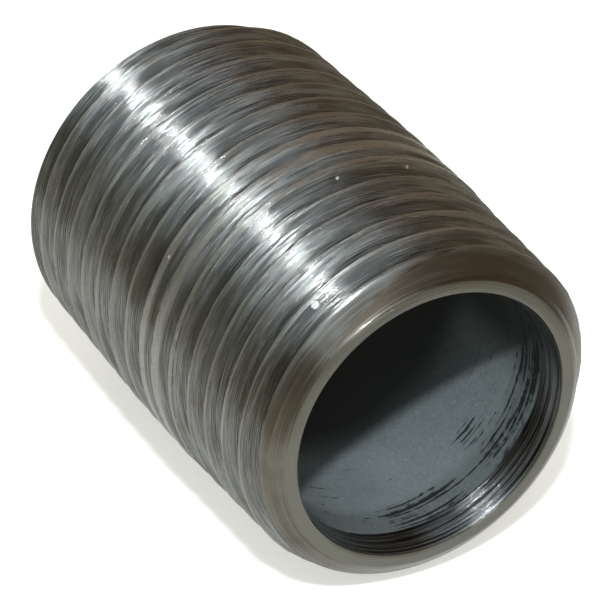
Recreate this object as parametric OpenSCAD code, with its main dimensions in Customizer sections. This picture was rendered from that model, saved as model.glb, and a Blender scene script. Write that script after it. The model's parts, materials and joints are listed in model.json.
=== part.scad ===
// Close pipe nipple: one short piece of pipe with a tapered thread cut on each end.
// It lies on its side, with its axis along X, and rests on the middle of its length.

/* [Pipe] */
// Outside diameter of the pipe that the nipple is cut from
pipe_od = 21.34; // [19:0.01:24]
// Wall of the pipe
pipe_wall = 2.77; // [2.3:0.01:3.6]
// Length over the two end faces
nipple_length = 28.575; // [20:0.005:60]

/* [Thread] */
// Threads per inch
threads_per_inch = 14; // [12:0.5:18]
// Growth of the diameter for one unit of length
taper = 0.0625; // [0.02:0.0005:0.07]
// Included angle of the thread
thread_angle = 60; // [55:1:62]
// Depth of the thread in pitches
thread_depth = 0.73; // [0.55:0.01:0.8]
// Turn of the thread about the axis, which sets where its groove crosses the end face
thread_start = 120; // [0:1:360]
// Where the two threads meet, measured from the middle of the length
threads_meet = 2.4; // [0:0.1:4]
// Last stretch of each thread before that place, where the groove gets shallower
run_out = 2.2; // [1:0.1:4]
// Share of its depth that the groove has lost where the threads meet
run_out_loss = 0.6; // [0:0.05:0.95]
// Distance between the two threads' grooves beyond whole pitches
thread_offset = -0.14; // [-0.8:0.02:0.8]

/* [Ends] */
// How far the chamfer starts inside the thread's root
chamfer_inset = 0.08; // [0.02:0.01:0.3]
// Slope of the chamfer, measured from the axis
chamfer_angle = 52; // [35:1:60]
// Depth that the reamer cuts into each end of the bore
ream_depth = 1.75; // [0.5:0.05:3]
// How much the reamer widens the bore's diameter at the end face
ream_widening = 0.4; // [0.1:0.05:0.8]

/* [Hidden] */

$fn = 96;
// flat facets around one turn of the thread
facets = 60;
// a groove is never quite flat, so that its points stay apart
least_depth = 0.02;
// how far a cutter stands clear of what it cuts
cutter_excess = 1;
inch = 25.4;
half = nipple_length / 2;
pipe_r = pipe_od / 2;
bore_r = pipe_r - pipe_wall;
mouth_r = bore_r + ream_widening / 2;

pitch = inch / threads_per_inch;
flank_slope = tan(thread_angle / 2);
depth = thread_depth * pitch;
// the taper pipe thread's rule for the pitch diameter at the end face
pitch_r_at_end = pipe_r - (0.05 * pipe_od / inch + 1.1) * pitch / 2;
// the sharp thread is cut off equally at its crest and at its root
root_half_width = (pitch / 2 - depth * flank_slope) / 2;
rim_r = pitch_r_at_end - depth / 2 - chamfer_inset;

// each thread's taper starts at its own end, and one goes over into the other where
// they meet
function second_thread(x) = max(0, min(1, (x - threads_meet) / run_out));
function from_end(x) = half + x - 2 * x * second_thread(x);
function pitch_r(x) = pitch_r_at_end + from_end(x) * taper / 2;
function crest_r(x) = min(pitch_r(x) + depth / 2, pipe_r);
function full_root_r(x) = pitch_r(x) - depth / 2;
function run_out_share(x) =
    run_out_loss * max(0, 1 - abs(x - threads_meet) / run_out);
function root_r(x) =
    let (full = full_root_r(x))
    min(full + run_out_share(x) * (pipe_r - full), crest_r(x) - least_depth);

// the second thread's grooves are moved along over the first turns past that place
function moved(x) =
    x + thread_offset * max(0, min(1, (x - threads_meet) / (2 * pitch)));

// the four corners of one groove, as [distance along the axis, radius]
function groove(x) =
    let (top = crest_r(x),
         root = root_r(x),
         reach = root_half_width + (top - root) * flank_slope)
    [[x - reach, top], [x - root_half_width, root],
     [x + root_half_width, root], [x + reach, top]];

function around(point, angle) =
    [point[1] * cos(angle), point[1] * sin(angle), point[0]];

// A right-hand thread over the whole length and one turn past each end, as columns of
// points: each column runs along the pipe, and a groove ends its turn in the column
// where the next groove starts.
module thread_form() {
    turns = 2 * ceil(half / pitch) + 3;
    first = pitch * (thread_start / 360 - (turns + 1) / 2);
    rows = 4 * turns;
    last = facets - 1;
    tip = half + 4 * pitch;
    points = [
        for (i = [0:last])
            for (k = [0:turns - 1])
                for (corner = groove(moved(first + pitch * (k + i / facets))))
                    around(corner, 360 * i / facets),
        [0, 0, -tip],
        [0, 0, tip]
    ];
    low_tip = facets * rows;
    high_tip = low_tip + 1;
    between_columns = [
        for (i = [0:last - 1])
            for (j = [0:rows - 2])
                let (a = i * rows + j, b = a + rows)
                each [[a, a + 1, b], [b, a + 1, b + 1]]
    ];
    across_the_seam = [
        for (j = [0:rows - 6])
            let (a = last * rows + j, b = j + 4)
            each [[a, a + 1, b], [b, a + 1, b + 1]]
    ];
    groove_ends = [
        for (j = [0:3])
            each [[last * rows, j + 1, j],
                [facets * rows - 5 + j, facets * rows - 4 + j, rows - 1]]
    ];
    tips = [
        for (i = [0:last - 1])
            each [[low_tip, i * rows, (i + 1) * rows],
                [high_tip, (i + 2) * rows - 1, (i + 1) * rows - 1]]
    ];
    seam_tips = [[low_tip, last * rows, 0], [high_tip, rows - 1, facets * rows - 1]];
    polyhedron(points,
        concat(between_columns, across_the_seam, groove_ends, tips, seam_tips));
}

// The blank: cut to length, and chamfered at both ends.
module chamfered_blank() {
    outer = pipe_r + cutter_excess;
    chamfer_length = (outer - rim_r) / tan(chamfer_angle);
    rotate_extrude()
        polygon([
            [0, -half], [rim_r, -half], [outer, -half + chamfer_length],
            [outer, half - chamfer_length], [rim_r, half], [0, half]
        ]);
}

// The bore, opened out at both ends by the reamer.
module reamed_bore() {
    reach = half + cutter_excess;
    rotate_extrude()
        polygon([
            [0, -reach], [mouth_r, -reach], [mouth_r, -half],
            [bore_r, -half + ream_depth], [bore_r, half - ream_depth],
            [mouth_r, half], [mouth_r, reach], [0, reach]
        ]);
}

module close_nipple() {
    color("dimgray")
        translate([0, 0, pipe_r])
            rotate([0, 90, 0])
                difference() {
                    intersection() {
                        thread_form();
                        chamfered_blank();
                    }
                    reamed_bore();
                }
}

close_nipple();
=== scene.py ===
import json
import math
import bpy
from mathutils import Matrix, Vector, noise
from mathutils.bvhtree import BVHTree


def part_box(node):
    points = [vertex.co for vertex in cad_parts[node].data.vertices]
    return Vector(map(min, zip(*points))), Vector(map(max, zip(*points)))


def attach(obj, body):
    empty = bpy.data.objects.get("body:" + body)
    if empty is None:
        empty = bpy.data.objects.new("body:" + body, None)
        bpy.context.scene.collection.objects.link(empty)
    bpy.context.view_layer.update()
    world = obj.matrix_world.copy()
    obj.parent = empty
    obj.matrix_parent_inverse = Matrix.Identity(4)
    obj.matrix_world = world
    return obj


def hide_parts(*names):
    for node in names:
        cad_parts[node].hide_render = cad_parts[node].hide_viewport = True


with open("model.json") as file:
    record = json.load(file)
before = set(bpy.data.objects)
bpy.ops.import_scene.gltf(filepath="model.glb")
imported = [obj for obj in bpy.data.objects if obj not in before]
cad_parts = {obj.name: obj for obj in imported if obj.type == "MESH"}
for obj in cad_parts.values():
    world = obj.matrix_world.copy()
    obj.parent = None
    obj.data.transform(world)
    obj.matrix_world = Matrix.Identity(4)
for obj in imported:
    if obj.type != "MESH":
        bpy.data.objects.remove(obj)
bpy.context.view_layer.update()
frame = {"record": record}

mm = 0.001
weld = 0.001 * mm  # points nearer than this are one point
lowCorner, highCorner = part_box("close_nipple")
mounts = {mount["name"]: mount for mount in frame["record"]["mounts"]}
pipeLength = highCorner.x - lowCorner.x
pipeRadius = (highCorner.z - lowCorner.z) / 2
axisHeight = lowCorner.z + pipeRadius
boreRadius = mounts["bore"]["dims"]["r_mm"] * mm
half = pipeLength / 2

# the photograph's frame, and places in it: x to the right, y down. Nicks, tears, marks,
# stains and a painted shade are put on the nipple by theirs, and the rest settled the camera
frameWidth, frameHeight = 613, 600
imagePoints = {
    "objectLeft": (30, None),
    "objectRight": (582, None),
    "objectTop": (None, 25),
    "objectBottom": (None, 575),
    "mouthEdgeLeft": (307, 425),
    "mouthEdgeTop": (430, 301),
    "mouthEdgeRight": (551, 425),
    "mouthEdgeBottom": (430, 548),
    "ringLeft": (292, 425),
    # a painted shade on the chamfer's top and right side
    "chamferStain": (503, 264),
    "topNick": (337, 178),
    "upperNick": (407, 167),
    "chamferNick": (315, 305),
    "leftNick": (169, 257),
    "rightTear": (528, 385),
    "innerTear": (507, 425),
    "lowTear": (430, 510),
    "boreMark": (470, 432),
    "brownStain": (139, 270),
    "lowStain": (271, 388),
}

photoCamera = {
    "azimuth": 60.902,  # degrees round the nipple, 0 looks along +Y
    "elevation": 34.586,
    "distance": 0.25134,
    "lens": 265.9,
    "aimRight": 0.283 * mm,  # the aim's place beside the middle of the nipple
    "aimUp": -0.384 * mm,
    "sensor": 36,
    "clip": (0.01, 10),
}


def addCamera(values):
    azimuth = math.radians(values["azimuth"])
    elevation = math.radians(values["elevation"])
    back = Vector((math.sin(azimuth) * math.cos(elevation),
                   -math.cos(azimuth) * math.cos(elevation), math.sin(elevation)))
    right = Vector((0, 0, 1)).cross(back).normalized()
    up = back.cross(right)
    aim = Vector((0, 0, axisHeight)) + right * values["aimRight"] + up * values["aimUp"]
    data = bpy.data.cameras.new("photoCamera")
    data.sensor_fit = "AUTO"
    data.sensor_width = values["sensor"]
    data.lens = values["lens"]
    data.clip_start, data.clip_end = values["clip"]
    seen = bpy.data.objects.new("photoCamera", data)
    bpy.context.scene.collection.objects.link(seen)
    turn = Matrix((right, up, back)).transposed()
    seen.matrix_world = Matrix.Translation(aim + back * values["distance"]) @ turn.to_4x4()
    bpy.context.scene.camera = seen
    return seen


camera = addCamera(photoCamera)
bpy.context.view_layer.update()
print("camera set")


class Wire:
    # one socket of a node tree; sums on it add Math nodes
    def __init__(self, tree, socket=None):
        self.tree = tree
        self.socket = socket

    def add(self, kind, settings=None, inputs=None, output=0):
        node = self.tree.nodes.new(kind)
        for name, value in (settings or {}).items():
            setattr(node, name, value)
        for name, value in (inputs or {}).items():
            if isinstance(value, Wire):
                self.tree.links.new(value.socket, node.inputs[name])
            else:
                node.inputs[name].default_value = value
        return Wire(self.tree, node.outputs[output])

    def beside(self, name):
        # another output of the same node
        return Wire(self.tree, self.socket.node.outputs[name])

    def maths(self, operation, *values):
        return self.add("ShaderNodeMath", {"operation": operation}, dict(enumerate(values)))

    def __add__(self, other):
        return self.maths("ADD", self, other)

    def __sub__(self, other):
        return self.maths("SUBTRACT", self, other)

    def __rsub__(self, other):
        return self.maths("SUBTRACT", other, self)

    def __mul__(self, other):
        return self.maths("MULTIPLY", self, other)

    def __truediv__(self, other):
        return self.maths("DIVIDE", self, other)

    __radd__ = __add__
    __rmul__ = __mul__

    def step(self, low, high, atLow=0.0, atHigh=1.0):
        # a soft step from one value to another
        return self.add("ShaderNodeMapRange", {"interpolation_type": "SMOOTHSTEP"},
                        {"Value": self, "From Min": low, "From Max": high,
                         "To Min": atLow, "To Max": atHigh})

    def colours(self, first, second):
        # this mask mixes two colours
        return self.add("ShaderNodeMix", {"data_type": "RGBA"},
                        {0: self, 6: first, 7: second}, 2)


def sightLine(point):
    # from the camera through an image point
    size = max(frameWidth, frameHeight)
    data = camera.data
    toward = Vector((point[0] - frameWidth / 2 + data.shift_x * size,
                     frameHeight / 2 - point[1] + data.shift_y * size,
                     -size * data.lens / data.sensor_width))
    return camera.matrix_world.translation, (camera.matrix_world.to_3x3() @ toward).normalized()


def placeOn(carrier, point):
    # where the sight line through an image point meets the carrier, or comes nearest to it
    start, way = sightLine(point)
    tree = BVHTree.FromObject(carrier, bpy.context.evaluated_depsgraph_get())
    place = tree.ray_cast(start, way)[0]
    if place is None:
        place = min((vertex.co for vertex in carrier.data.vertices),
                    key=lambda co: (co - start).cross(way).length)
    return place.copy()


def shownAt(place):
    # the image point at which a place shows
    size = max(frameWidth, frameHeight)
    data = camera.data
    local = camera.matrix_world.inverted() @ place
    reach = size * data.lens / data.sensor_width / -local.z
    return (frameWidth / 2 - data.shift_x * size + local.x * reach,
            frameHeight / 2 + data.shift_y * size - local.y * reach)


def rgb(red, green, blue):
    return (red, green, blue, 1)


def newMaterial(name, constants):
    # a material with an empty tree but for its shader, whose constants are set here
    material = bpy.data.materials.new(name)
    material.use_nodes = True
    tree = material.node_tree
    shader = tree.nodes["Principled BSDF"]
    for socket, value in constants.items():
        shader.inputs[socket].default_value = value
    return material, (Wire(tree), shader)


def feed(wire, shader, sockets):
    for name, value in sockets.items():
        wire.tree.links.new(value.socket, shader.inputs[name])


threadedPipe = {
    "pitch": 25.4 / 14 * mm,
    "pitchRadiusAtEnd": 9.632 * mm,
    "taper": 1 / 32,  # of the radius
    "depthInPitches": 0.73,
    "flankAngle": 30,  # degrees from square to the axis
    "start": 120,  # degrees that the thread is turned about the axis
    "meet": 2.4 * mm,  # where the two threads meet, from the middle
    "runOut": 2.2 * mm,  # on both sides of that place, the grooves get shallower
    "runOutLoss": 0.6,  # share of their depth that they have lost there
    "leastGroove": 0.02 * mm,
    "offset": -0.14 * mm,  # between the two threads
    "stepsPerTurn": 216,
    "flankSteps": (0, 0.12, 0.28, 0.44, 0.6, 0.75, 0.88, 0.96, 1),
    "crestSteps": (0.3, 1),
    "crestDrop": 0.03 * mm,  # how far the crest's edges fall away
    "crestWear": 0.05 * mm,
    "flankRipple": 0.03 * mm,
    "overrun": 0.2 * mm,  # how much winding is left past the ends until the blank trims it
    "endLength": 3 * mm,  # of the blank, that holds the chamfer
    "rimRadius": 8.892 * mm,  # the end ring's outer edge
    "mouthRadius": 8.1 * mm,  # and its inner edge, where the reamed mouth starts
    "chamferAngle": 52,  # degrees from the axis
    "reamDepth": 1.75 * mm,
    "edgeRound": 0.09 * mm,
    "smoothUnder": 38,  # degrees between faces that are shaded as one
}


def fromEnd(x, values):
    # the distance from the end that a thread was cut from
    second = max(0, min(1, (x - values["meet"]) / values["runOut"]))
    return half + x - 2 * x * second


def crestAt(x, values):
    depth = values["depthInPitches"] * values["pitch"]
    cone = values["pitchRadiusAtEnd"] + fromEnd(x, values) * values["taper"] + depth / 2
    return min(cone, pipeRadius)


def rootAt(x, values):
    depth = values["depthInPitches"] * values["pitch"]
    cone = values["pitchRadiusAtEnd"] + fromEnd(x, values) * values["taper"] - depth / 2
    lost = values["runOutLoss"] * max(0, 1 - abs(x - values["meet"]) / values["runOut"])
    return min(cone + lost * (pipeRadius - cone), crestAt(x, values) - values["leastGroove"])


def pickPiece(piece):
    bpy.ops.object.select_all(action="DESELECT")
    bpy.context.view_layer.objects.active = piece
    piece.select_set(True)


def pickParts(piece, kind, test):
    # in edit mode, with the faces or vertices that pass the test picked
    bpy.ops.object.mode_set(mode="EDIT")
    bpy.ops.mesh.select_mode(type=kind)
    bpy.ops.mesh.select_all(action="DESELECT")
    bpy.ops.object.mode_set(mode="OBJECT")
    for part in piece.data.polygons if kind == "FACE" else piece.data.vertices:
        part.select = test(part)
    bpy.ops.object.mode_set(mode="EDIT")


def threadWidths(values):
    # the flank's slope, its width along the pipe, and half the root's width
    slope = math.tan(math.radians(values["flankAngle"]))
    flank = values["depthInPitches"] * values["pitch"] * slope
    return slope, flank, (values["pitch"] / 2 - flank) / 2


def rollThread(values):
    # one pitch of the thread's outline, wound along the pipe by the Screw modifier
    pitch = values["pitch"]
    slope, flank, rootHalf = threadWidths(values)
    side = [rootHalf * 0.5] + [rootHalf + flank * step for step in values["flankSteps"]]
    side += [rootHalf + flank + rootHalf * step for step in values["crestSteps"]]
    places = [-place for place in reversed(side)] + [0] + side
    turns = 2 * math.ceil(half / pitch) + 4
    bpy.ops.object.select_all(action="DESELECT")
    bpy.ops.mesh.primitive_grid_add(x_subdivisions=len(places) - 1, y_subdivisions=1, size=pitch)
    piece = bpy.context.object
    piece.name = piece.data.name = "threadedPipe"
    pickParts(piece, "VERT", lambda vertex: vertex.co.y > 0)
    bpy.ops.mesh.delete(type="VERT")
    bpy.ops.object.mode_set(mode="OBJECT")
    row = sorted(piece.data.vertices, key=lambda vertex: vertex.co.x)
    for vertex, place in zip(row, places):
        vertex.co = (place + ((values["start"] - 180) / 360 - turns / 2) * pitch, 0, pipeRadius)
    screw = piece.modifiers.new("winding", "SCREW")
    screw.axis = "X"
    screw.angle = 2 * math.pi
    screw.screw_offset = pitch
    screw.iterations = turns
    screw.steps = screw.render_steps = values["stepsPerTurn"]
    bpy.ops.object.modifier_apply(modifier=screw.name)
    bpy.ops.object.mode_set(mode="EDIT")
    bpy.ops.mesh.select_all(action="SELECT")
    bpy.ops.mesh.remove_doubles(threshold=weld)
    bpy.ops.object.mode_set(mode="OBJECT")
    return piece


def shapeThread(piece, values):
    # every point goes to its place on the tapered thread, with its wear and ripple
    pitch = values["pitch"]
    slope, flank, rootHalf = threadWidths(values)
    for vertex in piece.data.vertices:
        x, y, z = vertex.co
        angle = math.atan2(-y, z)
        phase = x / pitch - angle / (2 * math.pi) - (values["start"] - 180) / 360
        across = (phase - round(phase)) * pitch
        centre = x - across
        along = centre / pitch * 2 * math.pi * pipeRadius
        centre += values["offset"] * max(0, min(1, (centre - values["meet"]) / (2 * pitch)))
        root = rootAt(centre, values)
        reach = rootHalf + (crestAt(centre, values) - root) * slope
        side = 1 if across >= 0 else -1
        away = abs(across)
        if away <= rootHalf:
            height = 0
            place = away
        elif away <= rootHalf + flank:
            height = (away - rootHalf) / flank
            place = rootHalf + height * (reach - rootHalf)
        else:
            height = 1
            place = reach + (away - rootHalf - flank) / rootHalf * (pitch / 2 - reach)
        newX = centre + side * place
        top = crestAt(newX, values)
        # wear in patches a few mm long, and ripples that run along the flanks
        wear = noise.noise((along / mm * 0.35, newX / mm * 0.5, 3.1))
        wear = max(0, wear + 0.12) * values["crestWear"]
        ripple = noise.noise((newX / mm * 4.5, along / mm * 0.12, side * 9.0))
        ripple += 0.5 * noise.noise((newX / mm * 9, along / mm * 0.3, side * 17.0))
        radius = root + height * (top - root)
        edge = 1 - abs(min(1, (away - rootHalf - flank) / rootHalf)) if height == 1 else 0
        radius -= height ** 4 * wear + (values["crestDrop"] * edge ** 2 if height == 1 else 0)
        radius += ripple * values["flankRipple"] * (1 - height ** 6) * min(1, (top - root) / mm)
        radius = min(radius, pipeRadius)
        vertex.co = (newX, -radius * math.sin(angle), radius * math.cos(angle))


def closeEnds(piece, values):
    # cut the winding off just past the pipe's ends and fill them
    bpy.ops.object.mode_set(mode="EDIT")
    for side in (1, -1):
        bpy.ops.mesh.select_all(action="SELECT")
        bpy.ops.mesh.bisect(plane_co=(side * (half + values["overrun"]), 0, 0),
                            plane_no=(side, 0, 0), use_fill=False, clear_outer=True)
    bpy.ops.mesh.select_mode(type="EDGE")
    bpy.ops.mesh.select_all(action="DESELECT")
    bpy.ops.mesh.select_non_manifold()
    bpy.ops.mesh.edge_face_add()
    bpy.ops.mesh.select_all(action="SELECT")
    bpy.ops.mesh.normals_make_consistent(inside=False)
    bpy.ops.object.mode_set(mode="OBJECT")


def addBar(name, radius, length, steps, material):
    # a bar along X, to be drawn out at its ends
    bpy.ops.object.select_all(action="DESELECT")
    bpy.ops.mesh.primitive_cylinder_add(vertices=steps, radius=radius, depth=length,
                                        rotation=(0, math.pi / 2, 0), end_fill_type="NGON")
    bpy.ops.object.transform_apply(location=True, rotation=True, scale=True)
    bar = bpy.context.object
    bar.name = bar.data.name = name
    bar.data.materials.append(material)
    return bar


def drawOut(bar, stages):
    # each end is extruded by a run and resized to a radius, stage by stage, from the bar's own
    for side in (1, -1):
        pickParts(bar, "FACE", lambda face: face.normal.x * side > 0.9)
        now = max(vertex.co.z for vertex in bar.data.vertices)
        for run, radius in stages:
            bpy.ops.mesh.extrude_region_move(TRANSFORM_OT_translate={"value": (side * run, 0, 0)})
            bpy.ops.transform.resize(value=(1, radius / now, radius / now))
            now = radius
        bpy.ops.object.mode_set(mode="OBJECT")


def cutPiece(piece, tool, operation):
    # the tool is used up, and its materials stay on the faces that it cuts
    pickPiece(piece)
    cut = piece.modifiers.new("cut", "BOOLEAN")
    cut.operation = operation
    cut.object = tool
    cut.solver = "EXACT"
    cut.material_mode = "TRANSFER"
    bpy.ops.object.modifier_apply(modifier=cut.name)
    mesh = tool.data
    bpy.data.objects.remove(tool)
    bpy.data.meshes.remove(mesh)


def makePipe(values, threadSteel, turnedSteel, scaledBore):
    piece = rollThread(values)
    shapeThread(piece, values)
    closeEnds(piece, values)
    piece.data.materials.append(threadSteel)
    steps = values["stepsPerTurn"]
    rim = values["rimRadius"]
    mouth = values["mouthRadius"]
    ream = values["reamDepth"]
    fillet = values["edgeRound"]
    slope = 1 / math.tan(math.radians(values["chamferAngle"]))
    chamferRun = (pipeRadius - rim) * slope
    # the chamfered blank, whose end rings have a rounded corner
    blank = addBar("blank", pipeRadius, pipeLength - 2 * values["endLength"], steps, turnedSteel)
    drawOut(blank, [(values["endLength"] - chamferRun, pipeRadius),
                    (chamferRun - fillet * 1.2, rim + fillet * 1.2 / slope),
                    (fillet * 0.8, rim + fillet * 0.45),
                    (fillet * 0.4, rim - fillet * 0.5)])
    cutPiece(piece, blank, "INTERSECT")
    # the bore with its reamed mouths, whose edge is rounded too
    cutter = addBar("cutter", boreRadius, pipeLength - 2 * ream, steps, scaledBore)
    cutter.data.materials.append(turnedSteel)
    drawOut(cutter, [(ream - fillet, mouth),
                     (fillet * 0.7, mouth + fillet * 0.3),
                     (fillet * 0.3, mouth + fillet),
                     (1 * mm, mouth + fillet)])
    for face in cutter.data.polygons:
        if abs(face.center.x) > half - ream:
            face.material_index = 1  # turned steel
    cutPiece(piece, cutter, "DIFFERENCE")
    bpy.ops.object.mode_set(mode="EDIT")
    bpy.ops.mesh.select_all(action="SELECT")
    bpy.ops.mesh.remove_doubles(threshold=weld)  # slivers that the cuts leave
    bpy.ops.transform.translate(value=(0, 0, axisHeight))
    bpy.ops.object.mode_set(mode="OBJECT")
    bpy.ops.object.shade_smooth_by_angle(angle=math.radians(values["smoothUnder"]))
    return piece


def ringPlace(start):
    # where a point lies: in mm from the middle of the axis, from the axis, and in turns round it
    here = start.add("ShaderNodeTexCoord", {}, {}, "Object")
    apart = start.add("ShaderNodeSeparateXYZ", {}, {0: here})
    x = apart * 1000
    y = apart.beside("Y") * 1000
    z = (apart.beside("Z") - axisHeight) * 1000
    radius = start.maths("SQRT", y * y + z * z)
    turn = start.maths("ARCTAN2", y * -1, z) / (2 * math.pi)
    return here, x, y, z, radius, turn


def marks(start, here, spots):
    # a mask that is 1 near any of the spots, each a place and its reach
    mask = None
    for place, reach in spots:
        away = start.add("ShaderNodeVectorMath", {"operation": "DISTANCE"},
                         {0: here, 1: tuple(place)}, "Value")
        spot = away.step(reach * 0.5, reach, 1, 0)
        mask = spot if mask is None else start.maths("MAXIMUM", mask, spot)
    return mask


def cloud(start, place, scale, detail=3.0, rough=0.5):
    return start.add("ShaderNodeTexNoise", {},
                     {"Vector": place, "Scale": scale, "Detail": detail, "Roughness": rough})


def streaks(start, u, v, seed, detail=3.0, rough=0.6):
    # a cloud drawn out along the way in which u and v change least
    place = start.add("ShaderNodeCombineXYZ", {}, {0: u, 1: v, 2: seed})
    return cloud(start, place, 1.0, detail, rough)


def turningLines(start, height, finish):
    # fine turning lines on a surface whose edges are rounded
    rounded = start.add("ShaderNodeBevel", {"samples": 6}, {"Radius": finish["edgeRound"]})
    return start.add("ShaderNodeBump", {}, {"Height": height, "Strength": 1.0,
                                            "Normal": rounded, "Distance": finish["striation"]})


threadFinish = {
    "bright": rgb(0.34, 0.33, 0.305),  # worn crests
    "plain": rgb(0.275, 0.276, 0.262),
    "dull": rgb(0.16, 0.16, 0.152),
    "rust": rgb(0.165, 0.13, 0.105),
    "oil": rgb(0.13, 0.125, 0.113),  # in the roots
    "stainAndShade": rgb(0.10, 0.072, 0.05),
    "stainAndShadeReach": 2.6 * mm,
    "polished": 0.15,  # roughness of the shiny streaks
    "torn": 0.31,  # and of the torn ones
    "striation": 0.045 * mm,
    "edgeRound": 0.14 * mm,
    "lip": rgb(0.15, 0.13, 0.105),  # where the groove runs out through the chamfer
    "lipFrom": 12.9,  # mm from the middle, at the mouth's end only
    "lipShade": rgb(0.092, 0.077, 0.058),  # where the chamfer's painted shade crosses it
    "nick": rgb(0.85, 0.84, 0.80),
    "nickReach": {"topNick": 0.13 * mm, "upperNick": 0.13 * mm, "chamferNick": 0.28 * mm,
                  "leftNick": 0.13 * mm},
    # how often each pattern changes in a mm, across the thread and along it
    "fine": (7, 0.3),
    "broad": (4, 0.08),
    "rusty": (1.3, 0.35),
    "cut": (50, 0.2),
    "patchScale": 260.0,
}


def finishThread(made, finish, values, nicks, stainsAndShades, lipShades):
    # worn crests, oily roots, and streaks that run along the thread
    start, shader = made
    here, x, y, z, radius, turn = ringPlace(start)
    pitch = values["pitch"] / mm
    phase = x / pitch - turn - (values["start"] - 180) / 360
    across = (phase - phase.maths("ROUND", phase)) * pitch
    along = (x - across) * (2 * math.pi * pipeRadius / mm / pitch)
    atEnd = crestAt(-half, values) / mm
    rise = (half / mm - x.maths("ABSOLUTE", x)) * values["taper"]
    below = start.maths("MINIMUM", rise + atEnd, pipeRadius / mm) - radius  # under the crest

    def drawn(name, seed, detail, rough=0.6):
        return streaks(start, across * finish[name][0], along * finish[name][1], seed, detail, rough)

    fine = drawn("fine", 1.7, 3)
    broad = drawn("broad", 5.3, 2)
    rusty = drawn("rusty", 13.1, 2)
    patch = cloud(start, here, finish["patchScale"])
    crest = below.step(0.01, 0.08, 1, 0)
    root = below.step(0.6, 1.15)
    tone = (fine * 0.6 + broad * 0.4).step(0.39, 0.60)
    colour = tone.colours(finish["dull"], finish["plain"])
    colour = patch.step(0.45, 0.75, 0, 0.5).colours(colour, finish["dull"])
    colour = rusty.step(0.58, 0.72, 0, 0.5).colours(colour, finish["rust"])
    stainedAndShaded = marks(start, here, stainsAndShades) * broad.step(0.35, 0.6)
    colour = (stainedAndShaded * 0.8).colours(colour, finish["stainAndShade"])
    colour = (crest * 0.7).colours(colour, finish["bright"])
    colour = (root * 0.8).colours(colour, finish["oil"])
    lip = x.step(finish["lipFrom"], finish["lipFrom"] + 0.5)
    # painted shade: the groove's run-out is darker where the chamfer's painted shade reaches it
    stainedAndShaded = marks(start, here, lipShades)
    colour = lip.colours(colour, stainedAndShaded.colours(finish["lip"], finish["lipShade"]))
    colour = marks(start, here, nicks).colours(colour, finish["nick"])
    rough = (broad * 0.55 + fine * 0.45).step(0.40, 0.62, finish["polished"], finish["torn"])
    rough = rough + lip * 0.25
    cut = drawn("cut", 8.9, 1, 0.5) * (1 - lip * 0.75)
    feed(start, shader, {"Base Color": colour, "Roughness": rough,
                         "Normal": turningLines(start, cut, finish)})


turnedFinish = {
    "dark": rgb(0.11, 0.096, 0.078),
    "plain": rgb(0.19, 0.178, 0.155),
    "worn": rgb(0.25, 0.25, 0.24),  # the chamfer's outer edge
    # painted shade on the chamfer's top and right side
    "stainAndShade": rgb(0.085, 0.073, 0.056),
    "stainAndShadeReach": 9 * mm,
    "rim": rgb(0.165, 0.16, 0.137),  # the end rings
    "reamed": rgb(0.21, 0.215, 0.215),
    # between the shiny lines, and as painted shade towards the top
    "reamedDark": rgb(0.02, 0.02, 0.019),
    "polished": 0.14,
    "torn": 0.28,
    "striation": 0.03 * mm,
    "onChamfer": 0.3,  # share of the striation on the chamfers
    "edgeRound": 0.4 * mm,
    "patchScale": 300.0,
}


def finishTurned(made, finish, values, stainsAndShades):
    # the chamfers are dark, with painted shade on their top and right side, the end rings paler, the
    # reamed edges dark with shiny lines and painted shade towards the top
    start, shader = made
    here, x, y, z, radius, turn = ringPlace(start)
    lines = streaks(start, x * 12, y * 0.11, z * 0.11, 3)
    broad = streaks(start, x * 5 + 3, y * 0.1, z * 0.1, 2)
    fine = streaks(start, x * 50 + radius * 30, y * 0.2, z * 0.2, 1)
    patch = cloud(start, here, finish["patchScale"])
    rim = values["rimRadius"] / mm
    mouth = values["mouthRadius"] / mm
    ring = radius.step(rim - 0.02, rim + 0.06, 1, 0)
    inside = radius.step(mouth - 0.01, mouth + 0.05, 1, 0)
    colour = (lines * 0.5 + patch * 0.5).step(0.38, 0.62).colours(finish["dark"], finish["plain"])
    colour = radius.step(rim + 0.9, rim + 1.4).colours(colour, finish["worn"])
    # painted shade: the chamfer is darker round its placed point, on its top and right side
    stainedAndShaded = marks(start, here, stainsAndShades) * patch.step(0.3, 0.6, 0.6, 0.9)
    colour = stainedAndShaded.colours(colour, finish["stainAndShade"])
    colour = (ring - inside).colours(colour, finish["rim"])
    # painted shade: the shiny lines fade towards the top of the reamed edge, leaving it darker there
    reamed = (lines * 0.5 + broad * 0.5).step(0.42, 0.6) * z.step(-2, 3, 1, 0.2)
    colour = inside.colours(colour, reamed.colours(finish["reamedDark"], finish["reamed"]))
    rough = lines.step(0.35, 0.65, finish["polished"], finish["torn"])
    rough = rough - inside * 0.06
    fine = fine * (finish["onChamfer"] + ring * (1 - finish["onChamfer"]))
    feed(start, shader, {"Base Color": colour, "Roughness": rough,
                         "Normal": turningLines(start, fine, finish)})


boreFinish = {
    "scale": rgb(0.126, 0.145, 0.145),
    "pale": rgb(0.182, 0.207, 0.205),
    "speck": rgb(0.30, 0.32, 0.32),
    # painted shade towards the middle and in the upper part, and the scuffed band by the reamed edge
    "shadeAndScuff": rgb(0.032, 0.033, 0.029),
    "scratch": rgb(0.010, 0.011, 0.012),
    # mm from the middle, to both ends; the painted shade towards the middle is full up to deepAt and
    # gone from paleAt
    "deepAt": 2.3,
    "paleAt": 5.4,
    "tornAtAll": (5.5, 7.5),
    "tornMore": (9.6, 11.2),  # up to the reamed edge
    "shadedAbove": (-2.5, 1),  # mm above the axis, where the painted shade of the upper part begins
    "tearReach": 3.2 * mm,
    "markReach": 1.3 * mm,
    "patchScale": 300.0,
    "speckScale": 5200.0,
    "chipScale": 2100.0,
    "relief": 0.02 * mm,
}


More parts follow.
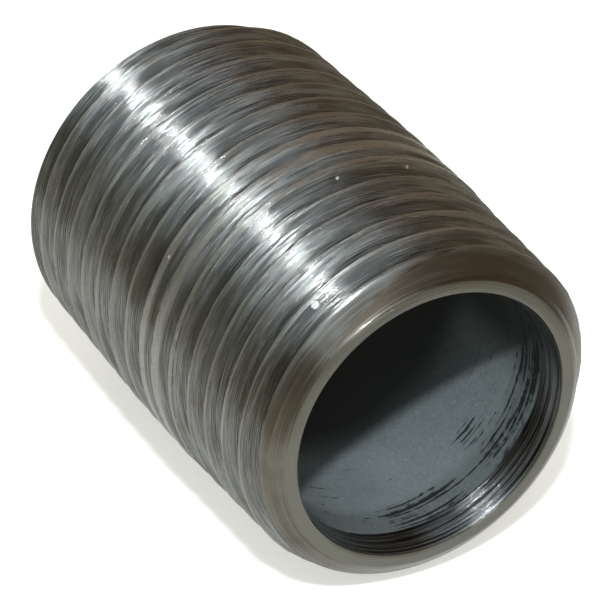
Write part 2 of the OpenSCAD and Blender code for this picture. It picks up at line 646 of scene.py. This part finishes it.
def finishBore(made, finish, tears, scores):
    # pale scale with specks, and painted shade that darkens it towards the middle and in the upper
    # part
    start, shader = made
    here, x, y, z, radius, turn = ringPlace(start)
    out = x.maths("ABSOLUTE", x)
    grain = streaks(start, x * 3, y * 9, z * 9, 4, 0.7)
    patch = cloud(start, here, finish["patchScale"])
    specks = cloud(start, here, finish["speckScale"], 2.0)
    colour = (grain * 0.6 + patch * 0.4).step(0.35, 0.68).colours(finish["scale"], finish["pale"])
    colour = specks.step(0.66, 0.74, 0, 0.6).colours(colour, finish["speck"])
    # painted shade: darker towards the middle of the bore, where the light does not reach
    colour = out.step(finish["deepAt"], finish["paleAt"], 0.85, 0).colours(colour, finish["shadeAndScuff"])
    # painted shade: darker in the upper part of the bore, which the light does not reach
    colour = (z.step(*finish["shadedAbove"]) * 0.85).colours(colour, finish["shadeAndScuff"])
    # torn lines round the bore: thick by the reamed edge, thickest where the tears are placed
    tear = streaks(start, x * 4.5, y * 0.16, z * 0.16, 4, 0.62)
    zone = out.step(*finish["tornMore"])
    thick = zone * marks(start, here, tears)
    scored = marks(start, here, scores)
    chips = cloud(start, here, finish["chipScale"], 2.0)
    torn = (tear + (chips - 0.5) * 0.25 + zone * 0.085 + thick * 0.09
            + scored * 0.10).step(0.65, 0.69) * out.step(*finish["tornAtAll"])
    scuffed = (zone * 0.5 + thick * 0.1) * grain.step(0.35, 0.6, 0.4, 1)
    colour = scuffed.colours(colour, finish["shadeAndScuff"])
    colour = (torn * 0.93).colours(colour, finish["scratch"])
    bump = start.add("ShaderNodeBump", {}, {"Height": grain - torn * 1.5, "Strength": 0.6,
                                            "Distance": finish["relief"]})
    feed(start, shader, {"Base Color": colour, "Roughness": 0.5 + grain * 0.2, "Normal": bump})


topDent = {
    "depth": 0.08 * mm,
    "reach": 0.35 * mm,
}


def pressDent(piece, place, values):
    # the nearest point of the mesh goes in by the depth, and its neighbours follow
    nearest = min(piece.data.vertices, key=lambda vertex: (vertex.co - place).length).index
    inward = Vector((0, -place.y, axisHeight - place.z)).normalized()
    pickPiece(piece)
    pickParts(piece, "VERT", lambda vertex: vertex.index == nearest)
    bpy.ops.transform.translate(value=inward * values["depth"], use_proportional_edit=True,
                                proportional_edit_falloff="SMOOTH",
                                proportional_size=values["reach"])
    bpy.ops.object.mode_set(mode="OBJECT")


threadSteel, threadWires = newMaterial("threadSteel", {"Metallic": 1.0})
turnedSteel, turnedWires = newMaterial("turnedSteel", {"Metallic": 1.0})
scaledBore, boreWires = newMaterial("scaledBore", {"Metallic": 0.1, "Specular IOR Level": 0.12})
pipe = makePipe(threadedPipe, threadSteel, turnedSteel, scaledBore)
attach(pipe, "root")
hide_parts("close_nipple")
print("threaded pipe made:", len(pipe.data.polygons), "faces")

pressDent(pipe, placeOn(pipe, imagePoints["topNick"]), topDent)
placed = {name: placeOn(pipe, point) for name, point in imagePoints.items()
          if name.endswith(("Nick", "Tear", "Mark", "Stain"))}
nicks = [(placed[name], reach) for name, reach in threadFinish["nickReach"].items()]
stainsAndShades = [(placed[name], threadFinish["stainAndShadeReach"]) for name in ("brownStain", "lowStain")]
chamferShades = [(placed["chamferStain"], turnedFinish["stainAndShadeReach"])]
tears = [(placed[name], boreFinish["tearReach"]) for name in ("rightTear", "innerTear", "lowTear")]
scores = [(placed["boreMark"], boreFinish["markReach"])]
finishThread(threadWires, threadFinish, threadedPipe, nicks, stainsAndShades, chamferShades)
finishTurned(turnedWires, turnedFinish, threadedPipe, chamferShades)
finishBore(boreWires, boreFinish, tears, scores)
print("marks placed and steel finished")

floorLook = {
    "size": 1.2,
    "pale": rgb(0.58, 0.575, 0.545),
    "far": rgb(0.27, 0.25, 0.205),
    "centre": (-8 * mm, -3 * mm, 0),
    "paleTo": 38 * mm,
    "farFrom": 70 * mm,
    "seenGlow": (0.95, 1.8),  # for the camera, on the pale part and beyond
    "mirroredGlow": 0.58,  # for what mirrors the floor
    "shade": ((-6 * mm, 17 * mm), (4.1 * mm, 11 * mm)),  # middle and half width in x and in y
    "shadeEdge": 2.5 * mm,
}


def addFloor(look):
    bpy.ops.object.select_all(action="DESELECT")
    bpy.ops.mesh.primitive_plane_add(size=look["size"], location=(0, 0, 0))
    floor = bpy.context.object
    floor.name = "floor"
    material = bpy.data.materials.new("paleFloor")
    material.use_nodes = True
    start = Wire(material.node_tree)
    start.tree.nodes.clear()
    here = start.add("ShaderNodeTexCoord", {}, {}, "Object")
    away = start.add("ShaderNodeVectorMath", {"operation": "DISTANCE"},
                     {0: here, 1: look["centre"]}, "Value")
    beyond = away.step(look["paleTo"], look["farFrom"])
    colour = beyond.colours(look["pale"], look["far"])
    diffuse = start.add("ShaderNodeBsdfDiffuse", {}, {"Color": colour})
    # the nipple's own shadow, for what mirrors the floor
    apart = start.add("ShaderNodeSeparateXYZ", {}, {0: here})
    shade = 1.0
    for name, (middle, reach) in zip("XY", look["shade"]):
        side = apart.beside(name) - middle
        shade = side.maths("ABSOLUTE", side).step(reach - look["shadeEdge"],
                                                  reach + look["shadeEdge"], 1, 0) * shade
    # the background's white for the camera, and for what mirrors or passes it
    path = start.add("ShaderNodeLightPath")
    seen = path.beside("Is Camera Ray")
    mirrored = path.beside("Is Glossy Ray") + path.beside("Is Transmission Ray")
    white, beyondWhite = look["seenGlow"]
    shown = seen.colours(colour, look["pale"])
    seen = seen * (white + beyond * (beyondWhite - white))
    seen = seen + mirrored * (1 - shade) * look["mirroredGlow"]
    glow = start.add("ShaderNodeEmission", {}, {"Color": shown, "Strength": seen})
    both = start.add("ShaderNodeAddShader", {}, {0: diffuse, 1: glow})
    out = start.tree.nodes.new("ShaderNodeOutputMaterial")
    start.tree.links.new(both.socket, out.inputs[0])
    floor.data.materials.append(material)


addFloor(floorLook)

keyLight = {
    "direction": (0.542, -0.302, 0.784),
    "distance": 0.5,
    "size": 0.026,
    "watts": 2.1,
    "colour": (0.88, 0.95, 1.0),
}
softLight = {
    "direction": (0.542, -0.19, 0.82),
    "distance": 0.52,
    "size": 0.8,
    "watts": 1.9,
    "colour": (0.70, 0.86, 1.0),
}


def addLight(name, values):
    data = bpy.data.lights.new(name, "AREA")
    data.shape = "DISK"
    data.size = values["size"]
    data.energy = values["watts"]
    data.color = values["colour"]
    light = bpy.data.objects.new(name, data)
    bpy.context.scene.collection.objects.link(light)
    direction = Vector(values["direction"])
    light.location = Vector((0, 0, axisHeight)) + direction.normalized() * values["distance"]
    light.rotation_mode = "QUATERNION"
    light.rotation_quaternion = direction.to_track_quat("Z", "Y")


addLight("keyLight", keyLight)
addLight("softLight", softLight)
roomLook = {
    "brown": rgb(0.29, 0.225, 0.16),  # behind the nipple, towards +Y
    "grey": rgb(0.36, 0.36, 0.32),  # in front of it
    "farEnd": 1.45,  # how bright the room is towards -X
    "mouthEnd": 1.15,  # and towards +X
}
world = bpy.data.worlds.new("room")
world.use_nodes = True
room = Wire(world.node_tree)
way = room.add("ShaderNodeTexCoord", {}, {}, "Generated")
apart = room.add("ShaderNodeSeparateXYZ", {}, {0: way})
roomColour = apart.beside("Y").step(-0.55, 0.35).colours(roomLook["grey"], roomLook["brown"])
strength = apart.step(-0.8, 0.8, roomLook["farEnd"], roomLook["mouthEnd"])
background = room.tree.nodes["Background"]
room.tree.links.new(roomColour.socket, background.inputs["Color"])
room.tree.links.new(strength.socket, background.inputs["Strength"])
bpy.context.scene.world = world
bpy.context.scene.view_settings.view_transform = "Standard"
print("floor and light made")


def measure(points, radii):
    # how far each thing shows from its point, in x and y
    mesh = pipe.data
    eye = camera.matrix_world.translation
    shows = set()
    for face in mesh.polygons:
        if face.normal.dot(eye - face.center) > 0:
            shows.update(face.vertices)
    seen = [(vertex.co, shownAt(vertex.co)) for vertex in mesh.vertices if vertex.index in shows]
    across = [spot[0] for co, spot in seen]
    down = [spot[1] for co, spot in seen]
    result = {"objectLeft": [min(across) - points["objectLeft"][0], None],
              "objectRight": [max(across) - points["objectRight"][0], None],
              "objectTop": [None, min(down) - points["objectTop"][1]],
              "objectBottom": [None, max(down) - points["objectBottom"][1]]}
    for name, radius in radii.items():
        # the nearest vertex on the mouth's edge of that radius
        point = Vector(points[name])
        near = [Vector(spot) for co, spot in seen if co.x > half - 0.12 * mm
                and abs(math.hypot(co.y, co.z - axisHeight) - radius) < 0.06 * mm]
        nearest = min(near, key=lambda spot: (spot - point).length)
        result[name] = list(nearest - point)
    for name, place in placed.items():
        spot = shownAt(place)
        result[name] = [spot[0] - points[name][0], spot[1] - points[name][1]]
    return result


edgeRadii = {name: threadedPipe["mouthRadius"] + threadedPipe["edgeRound"]
             for name in imagePoints if name.startswith("mouthEdge")}
edgeRadii["ringLeft"] = threadedPipe["rimRadius"]
measure(imagePoints, edgeRadii)
print("points measured")
